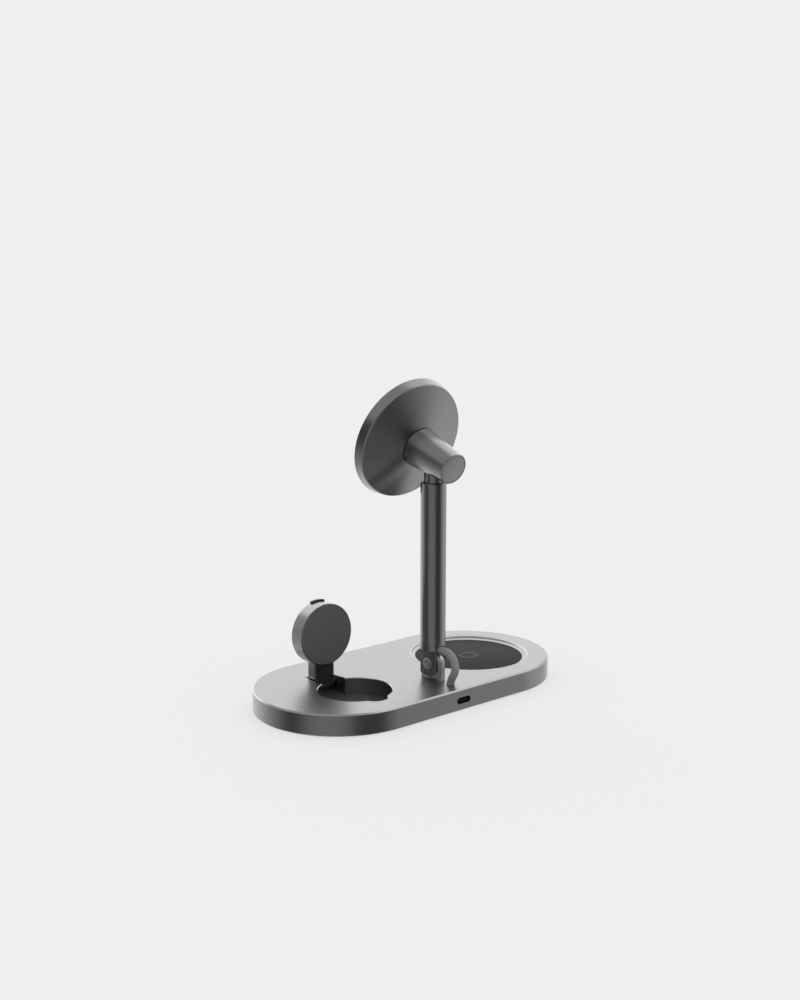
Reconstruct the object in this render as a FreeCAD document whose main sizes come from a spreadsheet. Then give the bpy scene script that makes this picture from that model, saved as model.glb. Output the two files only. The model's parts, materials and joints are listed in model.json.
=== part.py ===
import FreeCAD, Part
import math
import operator
import os
from types import SimpleNamespace

import Sketcher

# Three-in-one magnetic charging stand: a stadium base with a round earbud pad and a pocket for a
# folding watch puck, and a telescopic pole, hinged at its foot, that carries a tilting magnetic head.
# Millimetres. Origin under the middle of the base, +X towards the watch puck, +Y to the rear, +Z up.

# Driving dimensions: name, value and what it measures
SIZES = (
    ("base_length", 171.0, "base, end to end"),
    ("base_width", 86.0, "base, front to rear, also the diameter of its round ends"),
    ("base_height", 11.3, "table to top face"),
    ("base_edge", 0.7, "bevel round the top face"),
    ("base_foot_edge", 0.4, "bevel round the bottom"),
    ("foot_thickness", 0.6, "silicone pad under the base"),
    ("foot_inset", 3.2, "side of the base to the silicone pad"),
    ("cover_thickness", 1.2, "bottom cover"),
    ("cover_ledge", 1.4, "side of the base to the rebate of the bottom cover"),
    ("side_wall", 3.0, "side wall of the base"),
    ("top_wall", 3.6, "top wall of the base"),
    ("piece_gap", 0.1, "play round pieces that are dropped into place"),
    ("tight_gap", 0.02, "play round pieces that are pressed or screwed into place"),
    ("corner_screw_gap", 9.3, "end of the hollow to the bottom screws"),
    ("corner_screw_inset", 8.0, "side of the base to the bottom screws"),
    ("boss_radius", 3.2, "screw bosses inside the base"),
    ("screw_radius", 1.0, "small screws, shank"),
    ("screw_head_radius", 1.9, "small screws, head"),
    ("screw_head", 0.7, "small screws, height of the head"),
    ("screw_length", 4.2, "small screws, under the head"),
    ("screw_drive", 0.35, "small screws, depth of the slot"),
    ("recess_radius", 30.2, "round recess of the earbud pad"),
    ("recess_depth", 1.6, "depth of that recess"),
    ("recess_round", 1.5, "rounding of its rim"),
    ("pad_radius", 28.4, "earbud pad"),
    ("pad_shift", 1.5, "earbud pad, outward from the centre of the round end"),
    ("pad_thickness", 0.9, "earbud pad"),
    ("pad_proud", 0.3, "pad above the floor of its recess"),
    ("pad_edge", 0.2, "bevel of the earbud pad"),
    ("window_radius", 26.9, "opening under the pad for its coil"),
    ("coil_thickness", 1.2, "coils of the earbud pad and the puck"),
    ("coil_hole", 7.0, "earbud coil, inner radius"),
    ("ferrite_thickness", 0.8, "ferrite sheets"),
    ("inner_gap", 0.5, "play round the coil and ferrite of the earbud pad"),
    ("ballast_thickness", 1.4, "steel ballast plate"),
    ("ballast_half", 28.0, "half the width of the ballast plate"),
    ("ballast_corner", 8.0, "corner radius of the ballast plate"),
    ("ballast_gap", 1.0, "ballast plate to the end of the hollow"),
    ("board_thickness", 1.0, "circuit boards"),
    ("board_depth", 9.3, "main board, front to rear"),
    ("board_gap", 0.9, "main board to the end of the hollow"),
    ("board_wall_gap", 0.3, "main board to the rear wall"),
    ("board_lift", 2.3, "main board above the bottom cover"),
    ("post_radius", 1.6, "posts under the main board"),
    ("chip_height", 0.8, "components on the circuit boards"),
    ("port_height", 5.55, "centre of the port above the table"),
    ("port_half", 4.5, "half the width of the port opening"),
    ("port_radius", 1.65, "half the height of the port opening"),
    ("socket_gap", 0.1, "between the port opening and the socket"),
    ("socket_wall", 0.3, "sheet of the socket"),
    ("socket_length", 6.8, "socket, front to rear"),
    ("socket_back", 1.1, "rear wall of the socket"),
    ("socket_inset", 0.4, "socket mouth behind the side of the base"),
    ("tongue_half", 3.35, "half the width of the socket's tongue"),
    ("tongue_thickness", 0.7, "socket's tongue"),
    ("watch_inset", 44.6, "end of the base to the middle of the watch arm and pocket"),
    ("pocket_y", 9.2, "centre of the watch pocket"),
    ("pocket_radius", 18.2, "watch pocket"),
    ("pocket_bevel", 0.35, "bevel round the watch pocket"),
    ("pocket_web", 2.0, "wall between the pocket and the hollow of the base"),
    ("slot_half", 7.1, "half the width of the arm slot"),
    ("slot_front", 21.5, "front end of the arm slot, forward of the middle"),
    ("scoop_y", 24.2, "centre of the finger scoop"),
    ("scoop_radius", 6.4, "finger scoop"),
    ("tray_thickness", 1.3, "lining of the pocket floor"),
    ("watch_pivot_y", 17.5, "watch hinge, forward of the middle"),
    ("watch_pivot_drop", 3.3, "watch hinge below the top face"),
    ("watch_pin_radius", 1.5, "watch hinge pin"),
    ("watch_pin_bury", 4.0, "watch hinge pin into each side of the slot"),
    ("running_gap", 0.05, "radial play of shafts"),
    ("arm_half", 6.1, "half the width of the watch arm"),
    ("arm_thickness", 5.5, "watch arm"),
    ("arm_edge", 0.8, "rounding of the watch arm's rear edges"),
    ("arm_cover_half", 5.0, "half the width of the dark strip on the arm"),
    ("arm_cover_depth", 0.8, "dark strip, let into the arm"),
    ("puck_radius", 15.65, "watch puck"),
    ("puck_rise", 25.9, "puck centre above the watch hinge"),
    ("puck_front", 3.4, "charging face, forward of the watch hinge"),
    ("puck_thickness", 8.0, "watch puck"),
    ("puck_edge", 0.25, "bevel of the puck's rims"),
    ("puck_bore", 14.1, "inside of the puck ring"),
    ("puck_cover_radius", 15.2, "rear cover of the puck"),
    ("puck_cover_thickness", 0.95, "rear cover of the puck"),
    ("puck_cover_edge", 0.2, "bevel of the rear cover"),
    ("dome_radius", 14.85, "charging face of the puck"),
    ("dome_thickness", 1.6, "charging face of the puck"),
    ("dish_radius", 11.0, "hollow of the charging face"),
    ("dish_depth", 0.6, "hollow of the charging face"),
    ("tab_half", 4.1, "half the width of the lifting tab"),
    ("tab_proud", 0.9, "lifting tab beyond the puck ring"),
    ("tab_thickness", 1.2, "lifting tab"),
    ("puck_coil_outer", 12.6, "coil of the puck"),
    ("puck_coil_inner", 6.0, "coil of the puck"),
    ("puck_magnet_radius", 5.3, "magnet of the puck"),
    ("pole_inset", 22.73, "rear side of the base to the pole axis"),
    ("pole_radius", 6.38, "pole tube"),
    ("pole_bore", 5.45, "inside of the pole tube"),
    ("pole_edge", 0.3, "bevel of the tube's top"),
    ("pole_length", 90.95, "foot hinge to the top of the tube"),
    ("pivot_height", 7.95, "foot hinge above the top face"),
    ("fork_slot_half", 2.65, "half the slot of the fork"),
    ("fork_slot_rise", 9.6, "roof of the slot above the foot hinge"),
    ("fork_flat_half", 3.5, "half the width across the flats of the fork"),
    ("fork_flat_rise", 7.4, "top of the flats above the foot hinge"),
    ("fork_toe_round", 4.2, "rounding of the fork's front lower corner"),
    ("wire_hole", 4.8, "wire hole between the slot and the inside of the tube"),
    ("wire_hole_rise", 20.0, "bottom of the tube's bore above the foot hinge"),
    ("lug_half", 2.1, "half the thickness of the hinge lug"),
    ("lug_radius", 6.5, "rounded top of the hinge lug"),
    ("lug_drop", 2.2, "centre of that round below the foot hinge"),
    ("lug_edge", 0.4, "rounding of the lug's edges"),
    ("lug_plate", 2.4, "foot plate of the lug"),
    ("lug_plate_half_x", 7.0, "half the foot plate, lengthwise"),
    ("lug_plate_half_y", 10.0, "half the foot plate, crosswise"),
    ("lug_screw_pitch", 16.2, "between the screws of the lug"),
    ("washer_thickness", 0.45, "friction washers"),
    ("washer_radius", 5.2, "friction washers"),
    ("pivot_radius", 1.5, "foot hinge screw, shank"),
    ("pivot_head_radius", 2.95, "foot hinge screw and nut, head"),
    ("pivot_head", 1.1, "foot hinge screw and nut, proud of the fork"),
    ("pivot_head_edge", 0.35, "bevel of the screw's head"),
    ("pivot_drive", 0.7, "cross recess of the screw's head, depth"),
    ("cable_radius", 1.825, "link cable"),
    ("cable_gap", 0.2, "play round the link cable where it enters the base"),
    ("cable_foot_inset", 9.8, "rear side of the base to where the link cable enters it"),
    ("grommet_radius", 2.45, "strain relief under the top wall"),
    ("grommet_height", 1.2, "strain relief under the top wall"),
    ("bush_length", 6.0, "bush in the top of the pole"),
    ("bush_inset", 0.3, "bush below the top of the pole"),
    ("rod_radius", 4.65, "sliding rod"),
    ("rod_bore", 3.2, "inside of the sliding rod"),
    ("rod_reach", 60.0, "rod inside the tube at rest"),
    ("rod_foot_length", 8.0, "sleeve on the lower end of the rod"),
    ("tilt_rise", 12.8, "tilt hinge above the top of the tube"),
    ("rod_eye", 7.0, "solid length of the rod below the tilt hinge"),
    ("tilt_pin_radius", 1.5, "tilt hinge pin"),
    ("tilt_pin_half", 7.4, "half the length of the tilt hinge pin"),
    ("head_lean_angle", 19.2, "degrees that the head leans back"),
    ("rim_forward", 17.05, "tilt hinge to the rear rim of the head"),
    ("rim_depth", 5.4, "side of the head"),
    ("rim_rear_radius", 30.4, "rear rim of the head"),
    ("rim_front_radius", 31.5, "front rim of the head"),
    ("rim_edge", 0.5, "bevels of the rims"),
    ("cone_height", 6.27, "cone on the rear of the head"),
    ("cone_land", 0.3, "flat of the cone round the stem"),
    ("neck_radius", 10.0, "stem where it meets the cone"),
    ("neck_groove", 0.45, "groove between the stem and the cone"),
    ("stem_length", 25.84, "stem, cone to end"),
    ("stem_end_radius", 7.85, "stem at its end"),
    ("stem_edge", 0.35, "bevel of the stem's end"),
    ("stem_slot_half", 4.85, "half the width of the slot in the stem"),
    ("stem_slot_front", 5.2, "slot in the stem, forward of the tilt hinge"),
    ("stem_slot_rear", 12.4, "slot in the stem, behind the tilt hinge"),
    ("stem_slot_top", 5.0, "slot in the stem, beyond the tilt hinge"),
    ("spigot_radius", 7.0, "threaded end of the stem inside the head"),
    ("spigot_length", 3.7, "threaded end of the stem inside the head"),
    ("head_wire_hole", 2.5, "wire hole through the stem"),
    ("cap_radius", 7.0, "end cap of the stem"),
    ("cap_thickness", 1.2, "end cap of the stem"),
    ("cap_edge", 0.25, "bevel of the end cap"),
    ("cap_gap", 0.22, "groove round the end cap"),
    ("head_wall", 1.8, "wall of the head shell"),
    ("face_radius", 29.9, "face of the head"),
    ("face_thickness", 1.2, "face of the head"),
    ("face_edge", 0.3, "bevel of the head's face"),
    ("face_ledge", 1.4, "ledge that the face sits on"),
    ("magnet_outer", 27.6, "magnet ring"),
    ("magnet_inner", 23.2, "magnet ring"),
    ("magnet_thickness", 1.0, "magnet ring"),
    ("magnet_count", 18.0, "magnets in the ring"),
    ("magnet_gap_angle", 1.2, "degrees between the magnets"),
    ("head_coil_outer", 21.8, "charging coil of the head"),
    ("head_coil_inner", 9.5, "charging coil of the head"),
    ("head_coil_thickness", 0.8, "charging coil of the head"),
    ("head_ferrite_overlap", 0.4, "ferrite sheet of the head beyond its coil"),
    ("head_board_radius", 19.0, "circuit board of the head"),
    ("nut_radius", 9.2, "nut on the stem inside the head"),
    ("nut_thickness", 1.6, "nut on the stem inside the head"),
    ("nut_notch", 0.9, "half the width and the depth of the nut's notches"),
)

# Route of the link cable in the middle plane, as rear and up positions: down the tube's wire hole,
# out of the slot, over in a hook and down into the base
CABLE_ROUTE = (
    (20.9, 34.5),
    (20.6, 30.6),
    (22.1, 28.1),
    (24.8, 26.75),
    (27.8, 26.7),
    (31.0, 26.85),
    (34.1, 25.4),
    (36.2, 22.8),
    (37.0, 19.7),
    (36.0, 16.7),
    (34.1, 14.1),
    (33.2, 11.0),
    (33.2, 7.7),
)
ARC_SHARE = 0.45


class Size(float):
    """A length that also keeps its formula, in the names of the sheet."""

    def __new__(cls, value, formula=None):
        size = super().__new__(cls, value)
        size.formula = formula or repr(float(value))
        return size

    def __add__(self, other):
        return combined(self, "+", other)

    def __radd__(self, other):
        return combined(other, "+", self)

    def __sub__(self, other):
        return combined(self, "-", other)

    def __rsub__(self, other):
        return combined(other, "-", self)

    def __mul__(self, other):
        return combined(self, "*", other)

    def __rmul__(self, other):
        return combined(other, "*", self)

    def __truediv__(self, other):
        return combined(self, "/", other)

    def __neg__(self):
        return Size(-float(self), "(-%s)" % self.formula)


SIGNS = {"+": operator.add, "-": operator.sub, "*": operator.mul, "/": operator.truediv}


def combined(first, sign, second):
    """The size that two sizes, or a size and a number, make with the sign between them."""
    texts = [item.formula if isinstance(item, Size) else repr(item) for item in (first, second)]
    return Size(SIGNS[sign](float(first), float(second)), "(%s %s %s)" % (texts[0], sign, texts[1]))


doc = FreeCAD.newDocument("ChargingStand")
sheet = doc.addObject("Spreadsheet::Sheet", "Sizes")
for row, (alias, value, words) in enumerate(SIZES, start=1):
    sheet.set("A%d" % row, words)
    sheet.set("B%d" % row, str(value))
    sheet.setAlias("B%d" % row, alias)
doc.recompute()
dim = SimpleNamespace(**{alias: Size(sheet.get(alias), "Sizes." + alias) for alias, value, words in SIZES})

# Places that follow from the sizes
HALF_WIDTH = dim.base_width / 2
END_X = (dim.base_length - dim.base_width) / 2
PAD_X = -END_X - dim.pad_shift
COVER_TOP = dim.foot_thickness + dim.cover_thickness
CEILING = dim.base_height - dim.top_wall
HOLLOW = CEILING - COVER_TOP
LEDGE_DEPTH = dim.recess_depth + dim.pad_thickness - dim.pad_proud
PAD_LEDGE = dim.base_height - LEDGE_DEPTH
CORNER_SCREW_Y = HALF_WIDTH - dim.corner_screw_inset
WATCH_X = dim.base_length / 2 - dim.watch_inset
CAVITY_END = WATCH_X - dim.pocket_radius - dim.pocket_web
CORNER_SCREW_X = CAVITY_END + dim.corner_screw_gap
WATCH_Z = dim.base_height - dim.watch_pivot_drop
PUCK_Z = WATCH_Z + dim.puck_rise
PUCK_REAR_Y = dim.puck_thickness - dim.puck_front - dim.watch_pivot_y
ARM_REAR_Y = dim.arm_thickness / 2 - dim.watch_pivot_y
POLE_Y = HALF_WIDTH - dim.pole_inset
PIVOT_Z = dim.base_height + dim.pivot_height
POLE_TOP = PIVOT_Z + dim.pole_length
TILT_Z = POLE_TOP + dim.tilt_rise
ROD_BOTTOM = POLE_TOP - dim.rod_reach
CABLE_Y = HALF_WIDTH - dim.cable_foot_inset
SOCKET_MOUTH = HALF_WIDTH - dim.socket_inset
FACE_FRONT = -dim.rim_forward - dim.rim_depth
FACE_BACK = FACE_FRONT + dim.face_thickness
NECK = dim.cone_height - dim.rim_forward
STEM_END = NECK + dim.stem_length
BOARD_FRONT = FACE_BACK + dim.head_coil_thickness + dim.ferrite_thickness
NODES = []


def node(kind, label):
    """A new sub-part of the document."""
    sub_part = doc.addObject(kind, label)
    sub_part.Label = label
    NODES.append(sub_part)
    return sub_part


def tie(item, name, value):
    """Gives a property its value, bound to the sheet where the value comes from there."""
    if isinstance(value, Size):
        item.setExpression(name, value.formula)
    else:
        setattr(item, name, value)


def stand(sub_part, x=0, y=0, z=0, lean=0):
    """Moves a sub-part to its place, after it is turned about X by an angle in degrees."""
    turned = FreeCAD.Rotation(FreeCAD.Vector(1, 0, 0), lean)
    sub_part.Placement = FreeCAD.Placement(FreeCAD.Vector(x, y, z), turned)
    for name, place in (("x", x), ("y", y), ("z", z)):
        if isinstance(place, Size):
            sub_part.setExpression("Placement.Base." + name, place.formula)
    return sub_part


def on_head_axis(sub_part):
    """Puts a piece drawn along +Z on the head's axis, where its own Z points to the rear and down."""
    return stand(sub_part, 0, POLE_Y, TILT_Z, -90 - dim.head_lean_angle)


def on_puck_axis(sub_part):
    """Puts a piece drawn along +Z, from the puck's rear plane, on the puck's axis, rear side at 0."""
    return stand(sub_part, WATCH_X, PUCK_REAR_Y, PUCK_Z, -90)


def sketch_on(body, role, lift=0):
    """A sketch on an origin plane of the body, moved along the plane's normal."""
    plane = next(item for item in body.Origin.OriginFeatures if item.Role == role)
    sketch = body.newObject("Sketcher::SketchObject", body.Label + "_sketch")
    sketch.AttachmentSupport = (plane, [""])
    sketch.MapMode = "FlatFace"
    if isinstance(lift, Size):
        sketch.setExpression("AttachmentOffset.Base.z", lift.formula)
    return sketch


def measure(sketch, value, *rule):
    """Adds a constraint with a value, bound to the sheet where the value comes from there."""
    index = sketch.addConstraint(Sketcher.Constraint(*rule, float(value)))
    if isinstance(value, Size):
        sketch.setExpression("Constraints[%d]" % index, value.formula)


def pin(sketch, piece, point, x, y):
    """Fixes a point of the sketch at x and y. One of them may be None."""
    for place, kind, axis in ((x, "DistanceX", -2), (y, "DistanceY", -1)):
        if place is None:
            continue
        if place == 0:
            sketch.addConstraint(Sketcher.Constraint("PointOnObject", piece, point, axis))
        else:
            measure(sketch, place, kind, -1, 1, piece, point)


def circle(sketch, radius, x=0, y=0):
    ring = Part.Circle(FreeCAD.Vector(x, y, 0), FreeCAD.Vector(0, 0, 1), float(radius))
    piece = sketch.addGeometry(ring)
    pin(sketch, piece, 3, x, y)
    measure(sketch, radius, "Radius", piece)


def outline(sketch, corners, arcs=None):
    """A closed outline through corners. arcs names the sides that are arcs, each with the x and y of
    its centre and whether it turns left on the way."""
    arcs = arcs or {}
    spots = [FreeCAD.Vector(x, y, 0) for x, y in corners]
    sides = []
    for index, start in enumerate(spots):
        end = spots[(index + 1) % len(spots)]
        if index not in arcs:
            piece = sketch.addGeometry(Part.LineSegment(start, end))
            sides.append((piece, 1, 2))
            continue
        centre_x, centre_y, left = arcs[index]
        centre = FreeCAD.Vector(centre_x, centre_y, 0)
        first, last = (start, end) if left else (end, start)
        angles = [math.atan2(spot.y - centre.y, spot.x - centre.x) for spot in (first, last)]
        if angles[1] <= angles[0]:
            angles[1] += 2 * math.pi
        round_side = Part.Circle(centre, FreeCAD.Vector(0, 0, 1), (start - centre).Length)
        piece = sketch.addGeometry(Part.ArcOfCircle(round_side, angles[0], angles[1]))
        sides.append((piece, 1, 2) if left else (piece, 2, 1))
    for index, (piece, start_point, end_point) in enumerate(sides):
        following = sides[(index + 1) % len(sides)]
        joined = Sketcher.Constraint("Coincident", piece, end_point, following[0], following[1])
        sketch.addConstraint(joined)
        pin(sketch, piece, start_point, *corners[index])
    for index, (centre_x, centre_y, left) in arcs.items():
        chord = spots[(index + 1) % len(spots)] - spots[index]
        if abs(chord.y) >= abs(chord.x):
            pin(sketch, sides[index][0], 3, centre_x, None)
        else:
            pin(sketch, sides[index][0], 3, None, centre_y)


def block(sketch, x_low, x_high, y_low, y_high):
    outline(sketch, ((x_low, y_low), (x_high, y_low), (x_high, y_high), (x_low, y_high)))


def stadium(sketch, half_run, radius, y=0):
    """Two half circles joined by straight sides, long along the sketch's first axis."""
    corners = ((-half_run, y - radius), (half_run, y - radius), (half_run, y + radius),
               (-half_run, y + radius))
    outline(sketch, corners, {1: (half_run, y, True), 3: (-half_run, y, True)})


def pad(body, sketch, length, reverse=False, middle=False):
    feature = body.newObject("PartDesign::Pad", body.Label + "_pad")
    feature.Profile = sketch
    feature.Reversed = reverse
    feature.SideType = "Symmetric" if middle else "One side"
    tie(feature, "Length", length)
    doc.recompute()


def pocket(body, sketch, length=None, reverse=False):
    """A cut of the given depth, or both ways through the whole body."""
    before = body.Shape.Volume
    feature = body.newObject("PartDesign::Pocket", body.Label + "_pocket")
    feature.Profile = sketch
    feature.Reversed = reverse
    if length is None:
        feature.SideType = "Symmetric"
        feature.Type = "ThroughAll"
    else:
        tie(feature, "Length", length)
    doc.recompute()
    if body.Shape.Volume >= before:
        raise ValueError(body.Label + ": a pocket cut nothing")


def turn(body, sketch, kind="Revolution"):
    """A solid of revolution, or a turned groove, about the sketch's vertical axis."""
    feature = body.newObject("PartDesign::" + kind, body.Label + "_turn")
    feature.Profile = sketch
    feature.ReferenceAxis = (sketch, ["V_Axis"])
    feature.Angle = 360
    doc.recompute()


def dress(body, kind, amount, chosen):
    """A Chamfer or Fillet on the edges of the body that the test picks."""
    base = body.Tip
    names = ["Edge%d" % n for n, edge in enumerate(base.Shape.Edges, start=1) if chosen(edge)]
    feature = body.newObject("PartDesign::" + kind, body.Label + "_" + kind.lower())
    feature.Base = (base, names)
    tie(feature, "Radius" if kind == "Fillet" else "Size", amount)
    doc.recompute()


def level(edge, height):
    """Whether the whole edge lies at this height."""
    return abs(edge.BoundBox.ZMin - height) < 0.001 and abs(edge.BoundBox.ZMax - height) < 0.001


def group(label, solids):
    """A sub-part of separate solids, such as the screws of one kind."""
    feature = node("Part::Feature", label)
    feature.Shape = Part.Compound(solids)
    return feature


# Base
def base_shell():
    body = node("PartDesign::Body", "base_shell")
    sketch = sketch_on(body, "XY_Plane", dim.foot_thickness)
    stadium(sketch, END_X, HALF_WIDTH)
    pad(body, sketch, dim.base_height - dim.foot_thickness)
    dress(body, "Chamfer", dim.base_edge, lambda edge: level(edge, dim.base_height))
    dress(body, "Chamfer", dim.base_foot_edge, lambda edge: level(edge, dim.foot_thickness))

    hollow = sketch_on(body, "XY_Plane", COVER_TOP)
    inner = HALF_WIDTH - dim.side_wall
    corners = ((-END_X, -inner), (CAVITY_END, -inner), (CAVITY_END, inner), (-END_X, inner))
    outline(hollow, corners, {3: (-END_X, 0, True)})
    pocket(body, hollow, HOLLOW, reverse=True)
    rebate = sketch_on(body, "XY_Plane", dim.foot_thickness)
    stadium(rebate, END_X, HALF_WIDTH - dim.cover_ledge)
    pocket(body, rebate, dim.cover_thickness, reverse=True)
    bosses = sketch_on(body, "XY_Plane", CEILING)
    for y in (-CORNER_SCREW_Y, CORNER_SCREW_Y):
        circle(bosses, dim.boss_radius, -CORNER_SCREW_X, y)
    pad(body, bosses, HOLLOW, reverse=True)
    holes = sketch_on(body, "XY_Plane", COVER_TOP)
    for x in (-CORNER_SCREW_X, CORNER_SCREW_X):
        for y in (-CORNER_SCREW_Y, CORNER_SCREW_Y):
            circle(holes, dim.screw_radius, x, y)
    pocket(body, holes, dim.screw_length, reverse=True)

    recess = sketch_on(body, "XY_Plane", dim.base_height)
    circle(recess, dim.recess_radius, PAD_X)
    pocket(body, recess, dim.recess_depth)

    def is_recess_rim(edge):
        wide = edge.BoundBox.XLength
        return level(edge, dim.base_height) and abs(wide - 2 * dim.recess_radius) < 0.01

    dress(body, "Fillet", dim.recess_round, is_recess_rim)
    for radius, depth in ((dim.pad_radius + dim.piece_gap, LEDGE_DEPTH), (dim.window_radius, dim.top_wall)):
        step = sketch_on(body, "XY_Plane", dim.base_height)
        circle(step, radius, PAD_X)
        pocket(body, step, depth)

    depth = dim.base_height - COVER_TOP
    bowl = sketch_on(body, "XY_Plane", dim.base_height)
    circle(bowl, dim.pocket_radius, WATCH_X, dim.pocket_y)
    pocket(body, bowl, depth)
    slot = sketch_on(body, "XY_Plane", dim.base_height)
    block(slot, WATCH_X - dim.slot_half, WATCH_X + dim.slot_half, -dim.slot_front, dim.pocket_y)
    pocket(body, slot, depth)
    scoop = sketch_on(body, "XY_Plane", dim.base_height)
    circle(scoop, dim.scoop_radius, WATCH_X, dim.scoop_y)
    pocket(body, scoop, depth)

    def is_pocket_rim(edge):
        box = edge.BoundBox
        beside = abs(box.Center.x - WATCH_X) < dim.pocket_radius
        between = -dim.slot_front - 0.1 < box.YMin and box.YMax < dim.scoop_y + dim.scoop_radius + 0.1
        return level(edge, dim.base_height) and beside and between

    dress(body, "Chamfer", dim.pocket_bevel, is_pocket_rim)

    bore = sketch_on(body, "YZ_Plane", WATCH_X - dim.slot_half - dim.watch_pin_bury)
    circle(bore, dim.watch_pin_radius, -dim.watch_pivot_y, WATCH_Z)
    pocket(body, bore, 2 * (dim.slot_half + dim.watch_pin_bury), reverse=True)
    openings = sketch_on(body, "XY_Plane", dim.base_height)
    half_x = dim.lug_half + dim.piece_gap
    half_y = dim.lug_radius + dim.piece_gap
    block(openings, -half_x, half_x, POLE_Y - half_y, POLE_Y + half_y)
    circle(openings, dim.cable_radius + dim.cable_gap, 0, CABLE_Y)
    pocket(body, openings, dim.top_wall)
    lug_holes = sketch_on(body, "XY_Plane", CEILING)
    for side in (-1, 1):
        circle(lug_holes, dim.screw_radius, 0, POLE_Y + side * dim.lug_screw_pitch / 2)
    pocket(body, lug_holes, dim.screw_length - dim.lug_plate, reverse=True)
    port = sketch_on(body, "XZ_Plane", -HALF_WIDTH)
    stadium(port, dim.port_half - dim.port_radius, dim.port_radius, dim.port_height)
    pocket(body, port, dim.side_wall, reverse=True)


def bottom_cover():
    body = node("PartDesign::Body", "bottom_cover")
    sketch = sketch_on(body, "XY_Plane", dim.foot_thickness)
    stadium(sketch, END_X, HALF_WIDTH - dim.cover_ledge - dim.piece_gap)
    pad(body, sketch, dim.cover_thickness)
    posts = sketch_on(body, "XY_Plane", COVER_TOP)
    middle = HALF_WIDTH - dim.side_wall - dim.board_wall_gap - dim.board_depth / 2
    for side in (-1, 1):
        circle(posts, dim.post_radius, side * (CAVITY_END - dim.board_gap - 2 * dim.post_radius), middle)
    pad(body, posts, dim.board_lift)
    holes = sketch_on(body, "XY_Plane", COVER_TOP)
    heads = sketch_on(body, "XY_Plane", dim.foot_thickness)
    for x in (-CORNER_SCREW_X, CORNER_SCREW_X):
        for y in (-CORNER_SCREW_Y, CORNER_SCREW_Y):
            circle(holes, dim.screw_radius + dim.piece_gap, x, y)
            circle(heads, dim.screw_head_radius + dim.piece_gap, x, y)
    pocket(body, holes, dim.cover_thickness)
    pocket(body, heads, dim.screw_head, reverse=True)


def foot_pad():
    body = node("PartDesign::Body", "foot_pad")
    sketch = sketch_on(body, "XY_Plane")
    stadium(sketch, END_X, HALF_WIDTH - dim.foot_inset)
    pad(body, sketch, dim.foot_thickness)


def screw(x, y, head_bottom):
    """A small slotted screw that points up."""
    head = Part.makeCylinder(dim.screw_head_radius, dim.screw_head)
    shank = Part.makeCylinder(dim.screw_radius, dim.screw_head + dim.screw_length - 2 * dim.piece_gap)
    long = 1.2 * dim.screw_head_radius
    slot = Part.makeBox(long, dim.screw_drive, dim.screw_drive, FreeCAD.Vector(-long / 2, -dim.screw_drive / 2, 0))
    whole = head.fuse(shank).cut(slot).removeSplitter()
    whole.translate(FreeCAD.Vector(x, y, head_bottom))
    return whole


def screws():
    places = [(x * CORNER_SCREW_X, y * CORNER_SCREW_Y) for x in (-1, 1) for y in (-1, 1)]
    group("bottom_screws", [screw(x, y, dim.foot_thickness) for x, y in places])
    half = dim.lug_screw_pitch / 2
    under_plate = CEILING - dim.lug_plate - dim.screw_head
    group("lug_screws", [screw(0, POLE_Y + side * half, under_plate) for side in (-1, 1)])


def ballast_plate():
    body = node("PartDesign::Body", "ballast_plate")
    sketch = sketch_on(body, "XY_Plane", COVER_TOP)
    half = dim.ballast_half
    block(sketch, -END_X - half, CAVITY_END - dim.ballast_gap, -half, half)
    pad(body, sketch, dim.ballast_thickness)
    dress(body, "Fillet", dim.ballast_corner, lambda edge: edge.BoundBox.ZLength > edge.BoundBox.XLength)


def main_board():
    """The board stands on posts and is notched round the socket."""
    body = node("PartDesign::Body", "main_board")
    low = COVER_TOP + dim.board_lift
    half = CAVITY_END - dim.board_gap
    rear = HALF_WIDTH - dim.side_wall - dim.board_wall_gap
    front = rear - dim.board_depth
    notch_x = dim.port_half - dim.socket_gap + dim.piece_gap
    notch_y = SOCKET_MOUTH - dim.socket_length - dim.piece_gap
    sketch = sketch_on(body, "XY_Plane", low)
    corners = ((-half, front), (half, front), (half, rear), (notch_x, rear), (notch_x, notch_y),
               (-notch_x, notch_y), (-notch_x, rear), (-half, rear))
    outline(sketch, corners)
    pad(body, sketch, dim.board_thickness)
    chips = sketch_on(body, "XY_Plane", low + dim.board_thickness)
    for left, right in ((-0.85, -0.6), (-0.5, -0.35), (0.4, 0.7)):
        block(chips, left * half, right * half, front + dim.board_depth / 4, front + dim.board_depth * 0.7)
    pad(body, chips, dim.chip_height)


def usb_c_socket():
    body = node("PartDesign::Body", "usb_c_socket")
    outer = dim.port_radius - dim.socket_gap
    half_run = dim.port_half - dim.port_radius
    shell = sketch_on(body, "XZ_Plane", -SOCKET_MOUTH)
    stadium(shell, half_run, outer, dim.port_height)
    pad(body, shell, dim.socket_length)
    mouth = sketch_on(body, "XZ_Plane", -SOCKET_MOUTH)
    stadium(mouth, half_run, outer - dim.socket_wall, dim.port_height)
    pocket(body, mouth, dim.socket_length - dim.socket_back, reverse=True)
    tongue = sketch_on(body, "XZ_Plane", dim.socket_length - SOCKET_MOUTH)
    half = dim.tongue_thickness / 2
    block(tongue, -dim.tongue_half, dim.tongue_half, dim.port_height - half, dim.port_height + half)
    pad(body, tongue, dim.socket_length - dim.socket_wall, reverse=True)


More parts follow.
